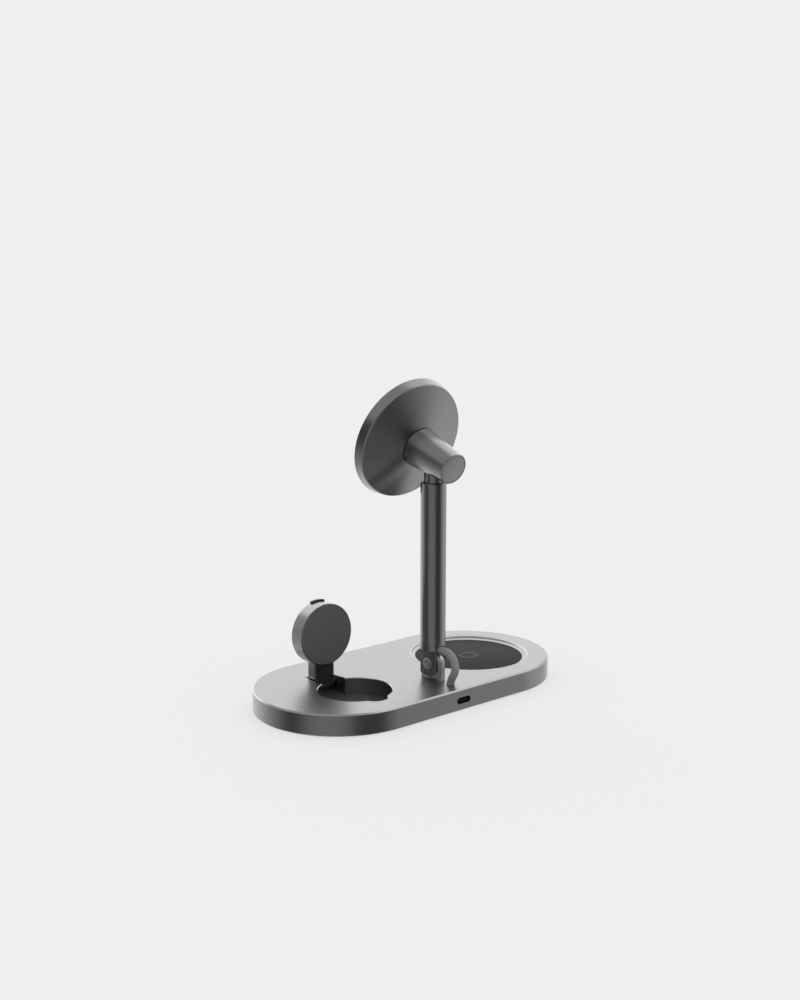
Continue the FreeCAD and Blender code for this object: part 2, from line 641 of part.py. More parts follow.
def earbud_charger():
    cover = node("PartDesign::Body", "earbud_pad")
    sketch = sketch_on(cover, "XY_Plane")
    circle(sketch, dim.pad_radius)
    pad(cover, sketch, dim.pad_thickness)
    dress(cover, "Chamfer", dim.pad_edge, lambda edge: level(edge, dim.pad_thickness))
    stand(cover, PAD_X, 0, PAD_LEDGE)
    coil = node("PartDesign::Body", "earbud_coil")
    sketch = sketch_on(coil, "XY_Plane")
    circle(sketch, dim.window_radius - 2 * dim.inner_gap)
    circle(sketch, dim.coil_hole)
    pad(coil, sketch, dim.coil_thickness, reverse=True)
    stand(coil, PAD_X, 0, PAD_LEDGE)
    ferrite = node("PartDesign::Body", "earbud_ferrite")
    sketch = sketch_on(ferrite, "XY_Plane")
    circle(sketch, dim.window_radius - dim.inner_gap)
    pad(ferrite, sketch, dim.ferrite_thickness, reverse=True)
    stand(ferrite, PAD_X, 0, PAD_LEDGE - dim.coil_thickness)


def pocket_tray():
    body = node("PartDesign::Body", "pocket_tray")
    gap = dim.piece_gap
    bowl = sketch_on(body, "XY_Plane", COVER_TOP)
    circle(bowl, dim.pocket_radius - gap, WATCH_X, dim.pocket_y)
    pad(body, bowl, dim.tray_thickness)
    slot = sketch_on(body, "XY_Plane", COVER_TOP)
    half = dim.slot_half - gap
    block(slot, WATCH_X - half, WATCH_X + half, gap - dim.slot_front, dim.pocket_y)
    pad(body, slot, dim.tray_thickness)
    scoop = sketch_on(body, "XY_Plane", COVER_TOP)
    circle(scoop, dim.scoop_radius - gap, WATCH_X, dim.scoop_y)
    pad(body, scoop, dim.tray_thickness)


def lengthwise_pin(label, radius, half, x, y, z):
    """A plain round pin along X, centred on its place."""
    body = node("PartDesign::Body", label)
    sketch = sketch_on(body, "YZ_Plane")
    circle(sketch, radius)
    pad(body, sketch, 2 * half, middle=True)
    stand(body, x, y, z)


# Foot hinge and link cable
def pole_lug():
    body = node("PartDesign::Body", "pole_lug")
    tongue = sketch_on(body, "YZ_Plane")
    front = POLE_Y - dim.lug_radius
    rear = POLE_Y + dim.lug_radius
    shoulder = PIVOT_Z - dim.lug_drop
    corners = ((front, CEILING), (rear, CEILING), (rear, shoulder), (front, shoulder))
    outline(tongue, corners, {2: (POLE_Y, shoulder, True)})
    pad(body, tongue, 2 * dim.lug_half, middle=True)

    def is_side_edge(edge):
        return edge.BoundBox.ZMax > dim.base_height and edge.BoundBox.XLength < 0.01

    dress(body, "Fillet", dim.lug_edge, is_side_edge)
    plate = sketch_on(body, "XY_Plane", CEILING)
    block(plate, -dim.lug_plate_half_x, dim.lug_plate_half_x, POLE_Y - dim.lug_plate_half_y,
          POLE_Y + dim.lug_plate_half_y)
    for side in (-1, 1):
        circle(plate, dim.screw_radius + dim.piece_gap, 0, POLE_Y + side * dim.lug_screw_pitch / 2)
    pad(body, plate, dim.lug_plate, reverse=True)
    bore = sketch_on(body, "YZ_Plane")
    circle(bore, dim.pivot_radius + dim.running_gap, POLE_Y, PIVOT_Z)
    pocket(body, bore)


def friction_washers():
    """Two thin washers, one on each side of the lug."""
    thickness = dim.washer_thickness
    near = dim.lug_half + (dim.fork_slot_half - dim.lug_half - thickness) / 2
    along = FreeCAD.Vector(1, 0, 0)
    washers = []
    for start in (near, -near - thickness):
        place = FreeCAD.Vector(start, POLE_Y, PIVOT_Z)
        disc = Part.makeCylinder(dim.washer_radius, thickness, place, along)
        hole = Part.makeCylinder(dim.pivot_radius + 2 * dim.running_gap, thickness, place, along)
        washers.append(disc.cut(hole))
    group("friction_washers", washers)


def cable_grommet():
    body = node("PartDesign::Body", "cable_grommet")
    sketch = sketch_on(body, "XY_Plane", CEILING)
    circle(sketch, dim.grommet_radius, 0, CABLE_Y)
    pad(body, sketch, dim.grommet_height, reverse=True)


def link_cable():
    """A round tube along straight runs that are joined by tangent arcs."""
    points = [FreeCAD.Vector(0, y, z) for y, z in CABLE_ROUTE]
    edges = []
    bends = []
    start = points[0]
    for before, corner, after in zip(points, points[1:], points[2:]):
        back = (before - corner).normalize()
        ahead = (after - corner).normalize()
        reach = ARC_SHARE * min((before - corner).Length, (after - corner).Length)
        half_turn = (math.pi - back.getAngle(ahead)) / 2
        bend = reach / math.tan(half_turn)
        bends.append(bend)
        first = corner + back * reach
        last = corner + ahead * reach
        inwards = (back + ahead).normalize()
        crown = corner + inwards * (bend / math.cos(half_turn) - bend)
        edges.append(Part.LineSegment(start, first).toShape())
        edges.append(Part.Arc(first, crown, last).toShape())
        start = last
    edges.append(Part.LineSegment(start, points[-1]).toShape())
    path = Part.Wire(edges)
    section = Part.Wire(Part.makeCircle(dim.cable_radius, points[0], points[1] - points[0]))
    tube = path.makePipeShell([section], True, False)
    expected = math.pi * float(dim.cable_radius) ** 2 * path.Length
    print("link cable: length %.1f, volume over section times length %.4f" % (path.Length, tube.Volume / expected))
    print("link cable: radii " + " ".join("%.1f" % bend for bend in bends))
    node("Part::Feature", "link_cable").Shape = tube


def pole_tube():
    """A tube with a forked foot: flats outside, a slot inside, and a rounded end that clears the base
    as the pole folds forward."""
    body = node("PartDesign::Body", "pole_tube")
    radius = dim.pole_radius
    tube = sketch_on(body, "XY_Plane", -radius)
    circle(tube, radius)
    pad(body, tube, dim.pole_length + radius)
    dress(body, "Chamfer", dim.pole_edge, lambda edge: level(edge, dim.pole_length))
    for bore_radius, top, bottom in ((dim.pole_bore, dim.pole_length, dim.wire_hole_rise),
                                     (dim.wire_hole, dim.wire_hole_rise, dim.fork_slot_rise)):
        bore = sketch_on(body, "XY_Plane", top)
        circle(bore, bore_radius)
        pocket(body, bore, top - bottom)

    out = radius + 1
    slot = sketch_on(body, "XZ_Plane")
    block(slot, -dim.fork_slot_half, dim.fork_slot_half, -out, dim.fork_slot_rise)
    pocket(body, slot)
    flats = sketch_on(body, "XZ_Plane")
    block(flats, dim.fork_flat_half, out, -out, dim.fork_flat_rise)
    block(flats, -out, -dim.fork_flat_half, -out, dim.fork_flat_rise)
    pocket(body, flats)
    heel = sketch_on(body, "YZ_Plane")
    corners = ((0, -out), (out, -out), (out, 0), (radius, 0), (0, -radius))
    outline(heel, corners, {3: (0, 0, False)})
    pocket(body, heel)
    toe = sketch_on(body, "YZ_Plane")
    corner = dim.fork_toe_round - radius
    corners = ((corner, -radius), (corner, -out), (-out, -out), (-out, corner), (-radius, corner))
    outline(toe, corners, {4: (corner, corner, True)})
    pocket(body, toe)
    bore = sketch_on(body, "YZ_Plane")
    circle(bore, dim.pivot_radius + dim.tight_gap)
    pocket(body, bore)
    stand(body, 0, POLE_Y, PIVOT_Z)


def pivot_screw():
    """A pan-head screw with a cross recess."""
    body = node("PartDesign::Body", "pivot_screw")
    top = dim.fork_flat_half + dim.pivot_head
    head = sketch_on(body, "YZ_Plane", dim.fork_flat_half)
    circle(head, dim.pivot_head_radius)
    pad(body, head, dim.pivot_head)

    def is_outer_edge(edge):
        return abs(edge.BoundBox.XMin - top) < 0.001 and edge.BoundBox.YLength > dim.pivot_head_radius

    dress(body, "Chamfer", dim.pivot_head_edge, is_outer_edge)
    shank = sketch_on(body, "YZ_Plane", dim.fork_flat_half)
    circle(shank, dim.pivot_radius)
    pad(body, shank, 2 * dim.fork_flat_half + dim.pivot_head / 2, reverse=True)
    wide = 0.7 * dim.pivot_head_radius
    narrow = 0.2 * dim.pivot_head_radius
    for half_y, half_z in ((wide, narrow), (narrow, wide)):
        drive = sketch_on(body, "YZ_Plane", top)
        block(drive, -half_y, half_y, -half_z, half_z)
        pocket(body, drive, dim.pivot_drive)
    stand(body, 0, POLE_Y, PIVOT_Z)


def pivot_nut():
    """A round nut with a spanner slot, on the other flat of the fork."""
    body = node("PartDesign::Body", "pivot_nut")
    ring = sketch_on(body, "YZ_Plane", -dim.fork_flat_half)
    circle(ring, dim.pivot_head_radius)
    circle(ring, dim.pivot_radius + dim.tight_gap)
    pad(body, ring, dim.pivot_head, reverse=True)
    slot = sketch_on(body, "YZ_Plane", -dim.fork_flat_half - dim.pivot_head)
    out = dim.pivot_head_radius + 1
    half = 0.15 * dim.pivot_head_radius
    block(slot, -out, out, -half, half)
    pocket(body, slot, dim.pivot_head / 2, reverse=True)
    stand(body, 0, POLE_Y, PIVOT_Z)


def pole_bush():
    body = node("PartDesign::Body", "pole_bush")
    sketch = sketch_on(body, "XY_Plane", -dim.bush_inset)
    circle(sketch, dim.pole_bore - dim.tight_gap)
    circle(sketch, dim.rod_radius + dim.running_gap)
    pad(body, sketch, dim.bush_length, reverse=True)
    stand(body, 0, POLE_Y, POLE_TOP)


# Sliding rod
def sliding_rod():
    """A hollow rod, solid and round at its top, where it has the eye of the tilt hinge."""
    body = node("PartDesign::Body", "sliding_rod")
    sketch = sketch_on(body, "XZ_Plane")
    tip = dim.rod_reach + dim.tilt_rise
    floor = tip - dim.rod_eye
    corners = ((dim.rod_bore, 0), (dim.rod_radius, 0), (dim.rod_radius, tip), (0, tip + dim.rod_radius),
               (0, floor), (dim.rod_bore, floor))
    outline(sketch, corners, {2: (0, tip, True)})
    turn(body, sketch)
    eye = sketch_on(body, "YZ_Plane")
    circle(eye, dim.tilt_pin_radius + dim.running_gap, 0, tip)
    pocket(body, eye)
    stand(body, 0, POLE_Y, ROD_BOTTOM)


def rod_foot():
    body = node("PartDesign::Body", "rod_foot")
    sketch = sketch_on(body, "XY_Plane")
    circle(sketch, dim.pole_bore - dim.running_gap)
    circle(sketch, dim.rod_radius + dim.tight_gap)
    pad(body, sketch, dim.rod_foot_length)
    stand(body, 0, POLE_Y, ROD_BOTTOM)


# Head, drawn along its own axis from the tilt hinge
def head_shell():
    """A disc with a conical back, turned in one piece and open at the front."""
    body = node("PartDesign::Body", "head_shell")
    sketch = sketch_on(body, "XZ_Plane")
    rear = -dim.rim_forward
    hole = dim.spigot_radius + dim.piece_gap
    land = dim.neck_radius + dim.cone_land
    seat = dim.face_radius + dim.piece_gap
    inner = dim.face_radius - dim.face_ledge
    edge = dim.rim_edge
    corners = ((hole, NECK), (land, NECK), (dim.rim_rear_radius - edge, rear + 0.3 * edge),
               (dim.rim_rear_radius, rear - edge), (dim.rim_front_radius, FACE_FRONT + edge),
               (dim.rim_front_radius - edge, FACE_FRONT), (seat, FACE_FRONT), (seat, FACE_BACK),
               (inner, FACE_BACK), (inner, rear - dim.head_wall), (land, NECK - dim.head_wall),
               (hole, NECK - dim.head_wall))
    outline(sketch, corners)
    turn(body, sketch)
    on_head_axis(body)


def head_stem():
    """A tapered stem with a spigot at one end, a recess for its cap at the other, and a slot below
    that takes the rod as the head tilts."""
    body = node("PartDesign::Body", "head_stem")
    sketch = sketch_on(body, "XZ_Plane")
    foot = NECK - dim.spigot_length
    seat = dim.cap_radius + dim.cap_gap
    recess = STEM_END - dim.cap_thickness
    waist = dim.neck_radius - dim.neck_groove
    shoulder = NECK + dim.neck_groove
    corners = ((0, foot), (dim.spigot_radius, foot), (dim.spigot_radius, NECK), (waist, NECK),
               (waist, shoulder), (dim.neck_radius, shoulder), (dim.stem_end_radius, STEM_END - dim.stem_edge),
               (dim.stem_end_radius - dim.stem_edge, STEM_END), (seat, STEM_END), (seat, recess), (0, recess))
    outline(sketch, corners)
    turn(body, sketch)
    slot = sketch_on(body, "XZ_Plane", dim.stem_slot_top)
    half = dim.stem_slot_half
    front = half - dim.stem_slot_front
    rear = dim.stem_slot_rear - half
    corners = ((half, front), (half, rear), (-half, rear), (-half, front))
    outline(slot, corners, {1: (0, rear, True), 3: (0, front, True)})
    pocket(body, slot, dim.stem_slot_top + 2 * dim.neck_radius)
    reach = dim.tilt_pin_half + dim.piece_gap
    pin_seat = sketch_on(body, "YZ_Plane", -reach)
    circle(pin_seat, dim.tilt_pin_radius + dim.tight_gap)
    pocket(body, pin_seat, 2 * reach, reverse=True)
    wires = sketch_on(body, "XY_Plane", foot)
    circle(wires, dim.head_wire_hole)
    pocket(body, wires, -foot, reverse=True)
    on_head_axis(body)


def head_disc(label, radius, front, thickness, hole=None):
    """A flat round piece of the head, given by its front plane."""
    body = node("PartDesign::Body", label)
    sketch = sketch_on(body, "XY_Plane", front)
    circle(sketch, radius)
    if hole:
        circle(sketch, hole)
    pad(body, sketch, thickness)
    return on_head_axis(body)


def head_inside():
    head_disc("head_coil", dim.head_coil_outer, FACE_BACK, dim.head_coil_thickness, dim.head_coil_inner)
    head_disc("head_ferrite", dim.head_coil_outer + dim.head_ferrite_overlap,
              FACE_BACK + dim.head_coil_thickness, dim.ferrite_thickness)
    board = head_disc("head_board", dim.head_board_radius, BOARD_FRONT, dim.board_thickness, dim.spigot_radius)
    chips = sketch_on(board, "XY_Plane", BOARD_FRONT + dim.board_thickness)
    radius = dim.head_board_radius
    for left, right in ((-0.8, -0.6), (0.6, 0.8)):
        block(chips, left * radius, right * radius, -0.15 * radius, 0.15 * radius)
    pad(board, chips, dim.chip_height)


def head_face():
    face = head_disc("head_face", dim.face_radius, FACE_FRONT, dim.face_thickness)
    dress(face, "Chamfer", dim.face_edge, lambda edge: level(edge, FACE_FRONT))


def stem_cap():
    cap = head_disc("stem_cap", dim.cap_radius, STEM_END - dim.cap_thickness, dim.cap_thickness)
    dress(cap, "Chamfer", dim.cap_edge, lambda edge: level(edge, STEM_END))


def stem_nut():
    """A ring nut that holds the stem in the head, with four notches for its spanner."""
    low = NECK - dim.head_wall - dim.nut_thickness
    body = head_disc("stem_nut", dim.nut_radius, low, dim.nut_thickness, dim.spigot_radius + dim.tight_gap)
    notch = sketch_on(body, "XY_Plane", low)
    deep = dim.nut_radius - dim.nut_notch
    out = dim.nut_radius + dim.nut_notch
    half = dim.nut_notch
    block(notch, deep, out, -half, half)
    block(notch, -out, -deep, -half, half)
    block(notch, -half, half, deep, out)
    block(notch, -half, half, -out, -deep)
    pocket(body, notch, dim.nut_thickness, reverse=True)


def magnet_ring():
    """Separate arc magnets, equally spaced round the face."""
    step = 360 / float(dim.magnet_count)
    foot = FreeCAD.Vector(0, 0, FACE_BACK)
    axis = FreeCAD.Vector(0, 0, 1)
    hole = Part.makeCylinder(dim.magnet_inner, dim.magnet_thickness, foot, axis)
    magnets = []
    for index in range(int(dim.magnet_count)):
        arc = Part.makeCylinder(dim.magnet_outer, dim.magnet_thickness, foot, axis, step - float(dim.magnet_gap_angle))
        arc = arc.cut(hole)
        arc.rotate(foot, axis, index * step)
        magnets.append(arc)
    on_head_axis(group("magnet_ring", magnets))


# Watch arm and puck. The puck's pieces are drawn along its axis from the rear side, so Z is minus
# the distance forward of that side
def puck_frame():
    """The ring and the arm, one casting. It is drawn from the watch hinge, with the arm up Z."""
    body = node("PartDesign::Body", "puck_frame")
    half = dim.arm_half
    rear = dim.arm_thickness / 2
    puck_rear = dim.puck_thickness - dim.puck_front
    arm = sketch_on(body, "XZ_Plane", -rear)
    block(arm, -half, half, 0, dim.puck_rise - 0.8 * dim.puck_radius)
    pad(body, arm, dim.arm_thickness)

    def is_rear_edge(edge):
        upright = edge.BoundBox.ZLength > edge.BoundBox.XLength + edge.BoundBox.YLength
        return upright and edge.BoundBox.YMin > 0

    dress(body, "Fillet", dim.arm_edge, is_rear_edge)
    knuckle = sketch_on(body, "YZ_Plane")
    circle(knuckle, rear)
    pad(body, knuckle, 2 * half, middle=True)
    ring = sketch_on(body, "XZ_Plane", -puck_rear)
    circle(ring, dim.puck_radius, 0, dim.puck_rise)
    pad(body, ring, dim.puck_thickness)

    def is_rim(edge):
        box = edge.BoundBox
        at_side = abs(box.YMin - puck_rear) < 0.001 or abs(box.YMin + dim.puck_front) < 0.001
        return box.YLength < 0.001 and at_side

    dress(body, "Chamfer", dim.puck_edge, is_rim)
    for radius, lift, depth, reverse in (
        (dim.puck_bore, -puck_rear, dim.puck_thickness, False),
        (dim.puck_cover_radius + dim.piece_gap, -puck_rear, dim.puck_cover_thickness, False),
        (dim.dome_radius + dim.piece_gap, dim.puck_front, dim.dome_thickness, True),
    ):
        seat = sketch_on(body, "XZ_Plane", lift)
        circle(seat, radius, 0, dim.puck_rise)
        pocket(body, seat, depth, reverse=not reverse)
    notch = sketch_on(body, "XZ_Plane", dim.puck_front)
    wide = dim.tab_half + dim.piece_gap
    block(notch, -wide, wide, dim.puck_rise + 0.8 * dim.puck_radius, dim.puck_rise + dim.puck_radius + 1)
    pocket(body, notch, dim.tab_thickness + dim.piece_gap)
    strip = sketch_on(body, "XZ_Plane", -rear)
    wide = dim.arm_cover_half + dim.piece_gap
    block(strip, -wide, wide, -rear, dim.puck_rise - dim.puck_radius + 4 * dim.piece_gap)
    pocket(body, strip, dim.arm_cover_depth, reverse=True)
    bore = sketch_on(body, "YZ_Plane")
    circle(bore, dim.watch_pin_radius + dim.running_gap)
    pocket(body, bore)
    stand(body, WATCH_X, -dim.watch_pivot_y, WATCH_Z)


def arm_cover():
    body = node("PartDesign::Body", "arm_cover")
    sketch = sketch_on(body, "XZ_Plane", -dim.arm_thickness / 2)
    half = dim.arm_cover_half
    block(sketch, -half, half, 0, dim.puck_rise - dim.puck_radius + 3 * dim.piece_gap)
    pad(body, sketch, dim.arm_cover_depth)
    stand(body, WATCH_X, -dim.watch_pivot_y, WATCH_Z)


def puck_back():
    body = node("PartDesign::Body", "puck_back")
    sketch = sketch_on(body, "XY_Plane")
    circle(sketch, dim.puck_cover_radius)
    pad(body, sketch, dim.puck_cover_thickness, reverse=True)
    dress(body, "Chamfer", dim.puck_cover_edge, lambda edge: level(edge, 0))
    on_puck_axis(body)


def puck_dome():
    """The charging face, with a shallow round dish and a lifting tab that follows the ring."""
    body = node("PartDesign::Body", "puck_dome")
    face = -dim.puck_thickness
    disc = sketch_on(body, "XY_Plane", face)
    circle(disc, dim.dome_radius)
    pad(body, disc, dim.dome_thickness)
    tab = sketch_on(body, "XY_Plane", face)
    rise = dim.puck_radius + dim.tab_proud
    shoulder = 0.9 * dim.puck_radius
    side = dim.tab_half
    reach = math.sqrt(float(rise) ** 2 - float(side) ** 2)
    shoulder_arc = Size(reach, "sqrt(%s ^ 2 - %s ^ 2)" % (rise.formula, side.formula))
    corners = ((side, -shoulder), (-side, -shoulder), (-side, -shoulder_arc), (side, -shoulder_arc))
    outline(tab, corners, {2: (0, 0, True)})
    pad(body, tab, dim.tab_thickness)
    dish = sketch_on(body, "XZ_Plane")
    bottom = face + dim.dish_depth
    outline(dish, ((0, face - 1), (dim.dish_radius, face - 1), (dim.dish_radius, face), (0, bottom)))
    turn(body, dish, "Groove")
    on_puck_axis(body)


def puck_inside():
    low = dim.dome_thickness - dim.puck_thickness
    coil = node("PartDesign::Body", "puck_coil")
    sketch = sketch_on(coil, "XY_Plane", low)
    circle(sketch, dim.puck_coil_outer)
    circle(sketch, dim.puck_coil_inner)
    pad(coil, sketch, dim.coil_thickness)
    on_puck_axis(coil)
    magnet = node("PartDesign::Body", "puck_magnet")
    sketch = sketch_on(magnet, "XY_Plane", low)
    circle(sketch, dim.puck_magnet_radius)
    pad(magnet, sketch, 2 * dim.coil_thickness)
    on_puck_axis(magnet)


base_shell()
bottom_cover()
foot_pad()
screws()
ballast_plate()
main_board()
usb_c_socket()
earbud_charger()
pocket_tray()
lengthwise_pin("watch_hinge_pin", dim.watch_pin_radius, dim.slot_half + dim.watch_pin_bury, WATCH_X,
               -dim.watch_pivot_y, WATCH_Z)
pole_lug()
friction_washers()
cable_grommet()
link_cable()
pole_tube()
pivot_screw()
pivot_nut()
pole_bush()
sliding_rod()
rod_foot()
lengthwise_pin("tilt_pin", dim.tilt_pin_radius, dim.tilt_pin_half, 0, POLE_Y, TILT_Z)
head_shell()
head_stem()
head_face()
head_inside()
stem_cap()
stem_nut()
magnet_ring()
puck_frame()
arm_cover()
puck_back()
puck_dome()
puck_inside()
doc.recompute()

# Check and export
for item in doc.Objects:
    if "Invalid" in item.State or "Error" in item.State:
        raise ValueError(item.Name + " did not build")
for item in NODES:
    if item.Shape.isNull() or not item.Shape.isValid() or item.Shape.Volume <= 0:
        raise ValueError(item.Label + " has no valid solid")
os.makedirs("parts", exist_ok=True)
for item in NODES:
    item.Shape.exportStep(os.path.join("parts", item.Label + ".step"))
print("%d sub-parts" % len(NODES))
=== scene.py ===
import json
import math

import bpy
import numpy as np
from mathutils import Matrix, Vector


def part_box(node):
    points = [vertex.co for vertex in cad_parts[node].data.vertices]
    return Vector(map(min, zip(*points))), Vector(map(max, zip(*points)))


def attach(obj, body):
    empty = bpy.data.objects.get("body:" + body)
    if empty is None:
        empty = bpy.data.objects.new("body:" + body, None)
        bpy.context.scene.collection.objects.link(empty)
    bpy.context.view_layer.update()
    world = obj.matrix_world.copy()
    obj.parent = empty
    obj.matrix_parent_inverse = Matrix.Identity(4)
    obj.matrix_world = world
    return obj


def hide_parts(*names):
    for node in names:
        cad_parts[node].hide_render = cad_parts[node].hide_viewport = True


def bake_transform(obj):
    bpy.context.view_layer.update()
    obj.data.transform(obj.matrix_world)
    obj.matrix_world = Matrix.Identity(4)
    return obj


# Three-in-one magnetic charging stand: finishes, link cable, studio and camera.
# Metres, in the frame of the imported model: +X towards the watch puck, +Y to the rear, +Z up.

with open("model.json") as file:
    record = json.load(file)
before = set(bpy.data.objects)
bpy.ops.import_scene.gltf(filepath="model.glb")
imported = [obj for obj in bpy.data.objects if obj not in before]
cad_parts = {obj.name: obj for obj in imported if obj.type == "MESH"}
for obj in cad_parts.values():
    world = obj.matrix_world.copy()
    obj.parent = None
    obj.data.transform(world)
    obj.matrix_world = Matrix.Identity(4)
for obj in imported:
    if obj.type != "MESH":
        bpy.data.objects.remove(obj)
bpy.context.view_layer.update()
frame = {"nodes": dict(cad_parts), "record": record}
nodes = frame["nodes"]

MM = 0.001
PAD_LOW, PAD_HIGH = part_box("earbud_pad")
PAD_MIDDLE = (PAD_LOW + PAD_HIGH) / 2


def linear(code):
    """A colour for the shader from its sRGB hex code."""
    parts = [int(code[i:i + 2], 16) / 255 for i in (1, 3, 5)]
    return [p / 12.92 if p <= 0.04045 else ((p + 0.055) / 1.055) ** 2.4 for p in parts] + [1.0]


def add_node(tree, kind, values=None, **settings):
    """Adds a node to the tree. settings are its own properties; values gives each input, by its name
    or number, either a plain value or the output that feeds it."""
    node = tree.nodes.new(kind)
    for name, value in settings.items():
        setattr(node, name, value)
    for name, value in (values or {}).items():
        if isinstance(value, bpy.types.NodeSocket):
            tree.links.new(value, node.inputs[name])
        else:
            node.inputs[name].default_value = value
    return node


def new_material(name):
    """An empty material: its name, tree, shader and the output of its Object coordinates."""
    material = bpy.data.materials.new(name)
    material.use_nodes = True
    tree = material.node_tree
    tree.nodes.clear()
    shader = add_node(tree, "ShaderNodeBsdfPrincipled")
    add_node(tree, "ShaderNodeOutputMaterial", {"Surface": shader.outputs["BSDF"]})
    place = add_node(tree, "ShaderNodeTexCoord").outputs["Object"]
    return material, tree, shader, place


def noise(tree, place, size_mm, detail=2.0, stretch=(1.0, 1.0, 1.0)):
    """Noise whose lumps are about size_mm across, longer along the axes whose stretch is under one."""
    scaled = add_node(tree, "ShaderNodeMapping", {"Vector": place, "Scale": stretch})
    return add_node(tree, "ShaderNodeTexNoise", {"Vector": scaled.outputs[0], "Scale": 1 / (size_mm * MM),
                                                 "Detail": detail}).outputs[0]


def spread(tree, value, low, high, first=0.3, last=0.7):
    """The value's range from first to last, spread from low to high."""
    return add_node(tree, "ShaderNodeMapRange", {0: value, 1: first, 2: last, 3: low, 4: high}).outputs[0]


def dents(tree, shader, height, depth_mm, strength):
    """Bump on the shader from a height between 0 and 1 that stands for depth_mm."""
    bump = add_node(tree, "ShaderNodeBump", {"Height": height, "Distance": depth_mm * MM,
                                             "Strength": strength})
    tree.links.new(bump.outputs[0], shader.inputs["Normal"])


def blasted_aluminium(name, hex_code, dark_code, rough):
    """Aluminium, bead-blasted and anodised: an even satin metal with a fine grain of dents. The real
    dents are 0.05 mm wide; they are drawn 0.3 mm wide to show. The dye takes a little unevenly."""
    material, tree, shader, place = new_material(name)
    shader.inputs["Metallic"].default_value = 1.0
    grain = noise(tree, place, 0.3, 1.0)
    cloud = noise(tree, place, 30.0, 1.0)
    tone = add_node(tree, "ShaderNodeMix", {0: spread(tree, cloud, 0.0, 1.0), 6: linear(hex_code),
                                            7: linear(dark_code)}, data_type="RGBA")
    tree.links.new(tone.outputs[2], shader.inputs["Base Color"])
    worn = spread(tree, noise(tree, place, 12.0, 2.0), rough - 0.008, rough + 0.008)
    tree.links.new(worn, shader.inputs["Roughness"])
    dents(tree, shader, grain, 0.006, 0.05)
    return material


def between(tree, value, low, high, soft):
    """One where the value lies between low and high, zero outside, with soft ends."""
    rise = spread(tree, value, 0.0, 1.0, low, low + soft)
    fall = spread(tree, value, 1.0, 0.0, high - soft, high)
    return add_node(tree, "ShaderNodeMath", {0: rise, 1: fall}, operation="MULTIPLY").outputs[0]


def aluminium_with_painted_edge_highlight(name, hex_code, edge_highlight_code, side_rough, top_rough, edge_rough):
    """The base's aluminium: blasted and anodised, a little coarser on the top face than on the side,
    and its bevels and rounds smoother. Their colour is lightened as a painted highlight for the glints
    along the edges."""
    material, tree, shader, place = new_material(name)
    shader.inputs["Metallic"].default_value = 1.0
    facing = add_node(tree, "ShaderNodeTexCoord").outputs["Normal"]
    upward = add_node(tree, "ShaderNodeSeparateXYZ", {0: facing}).outputs[2]
    # Bevels and rounds, found by how far they face upwards: their lighter colour is a painted highlight
    edge = between(tree, upward, 0.12, 0.985, 0.12)
    tone = add_node(tree, "ShaderNodeMix", {0: edge, 6: linear(hex_code), 7: linear(edge_highlight_code)},
                    data_type="RGBA")
    tree.links.new(tone.outputs[2], shader.inputs["Base Color"])
    face = spread(tree, upward, side_rough, top_rough, 0.1, 0.95)
    worn = spread(tree, noise(tree, place, 12.0, 2.0), -0.008, 0.008)
    face = add_node(tree, "ShaderNodeMath", {0: face, 1: worn}, operation="ADD").outputs[0]
    rough = add_node(tree, "ShaderNodeMix", {0: edge, 2: face, 3: edge_rough}).outputs[0]
    tree.links.new(rough, shader.inputs["Roughness"])
    dents(tree, shader, noise(tree, place, 0.3, 1.0), 0.006, 0.05)
    return material


def turned_steel(name, hex_code, rough):
    """Steel, turned or ground: satin, with fine streaks across its length."""
    material, tree, shader, place = new_material(name)
    shader.inputs["Metallic"].default_value = 1.0
    shader.inputs["Base Color"].default_value = linear(hex_code)
    streaks = noise(tree, place, 0.4, 2.0, (1.0, 1.0, 6.0))
    tree.links.new(spread(tree, streaks, rough - 0.03, rough + 0.04), shader.inputs["Roughness"])
    dents(tree, shader, streaks, 0.004, 0.06)
    return material


def faced_steel(name, hex_code, rough):
    """Steel faced on a lathe: rings about the X axis, too fine to see, spread the light into fans."""
    material, tree, shader, place = new_material(name)
    shader.inputs["Metallic"].default_value = 1.0
    shader.inputs["Base Color"].default_value = linear(hex_code)
    shader.inputs["Anisotropic"].default_value = 0.85
    rings = add_node(tree, "ShaderNodeTangent", direction_type="RADIAL", axis="X").outputs[0]
    tree.links.new(rings, shader.inputs["Tangent"])
    worn = spread(tree, noise(tree, place, 1.0, 2.0), rough - 0.02, rough + 0.02)
    tree.links.new(worn, shader.inputs["Roughness"])
    return material


def moulded_plastic(name, hex_code, rough):
    """Black ABS from an etched mould: a fine even texture and a low satin gloss."""
    material, tree, shader, place = new_material(name)
    shader.inputs["Base Color"].default_value = linear(hex_code)
    worn = spread(tree, noise(tree, place, 9.0, 2.0), rough - 0.02, rough + 0.02)
    tree.links.new(worn, shader.inputs["Roughness"])
    dents(tree, shader, noise(tree, place, 0.25, 2.0), 0.01, 0.12)
    return material


def plain_metal(name, hex_code, rough, metallic=1.0):
    """Inner pieces that only open or cut views show."""
    material, tree, shader, place = new_material(name)
    shader.inputs["Metallic"].default_value = metallic
    shader.inputs["Base Color"].default_value = linear(hex_code)
    worn = spread(tree, noise(tree, place, 1.0, 2.0), rough - 0.05, rough + 0.05)
    tree.links.new(worn, shader.inputs["Roughness"])
    return material


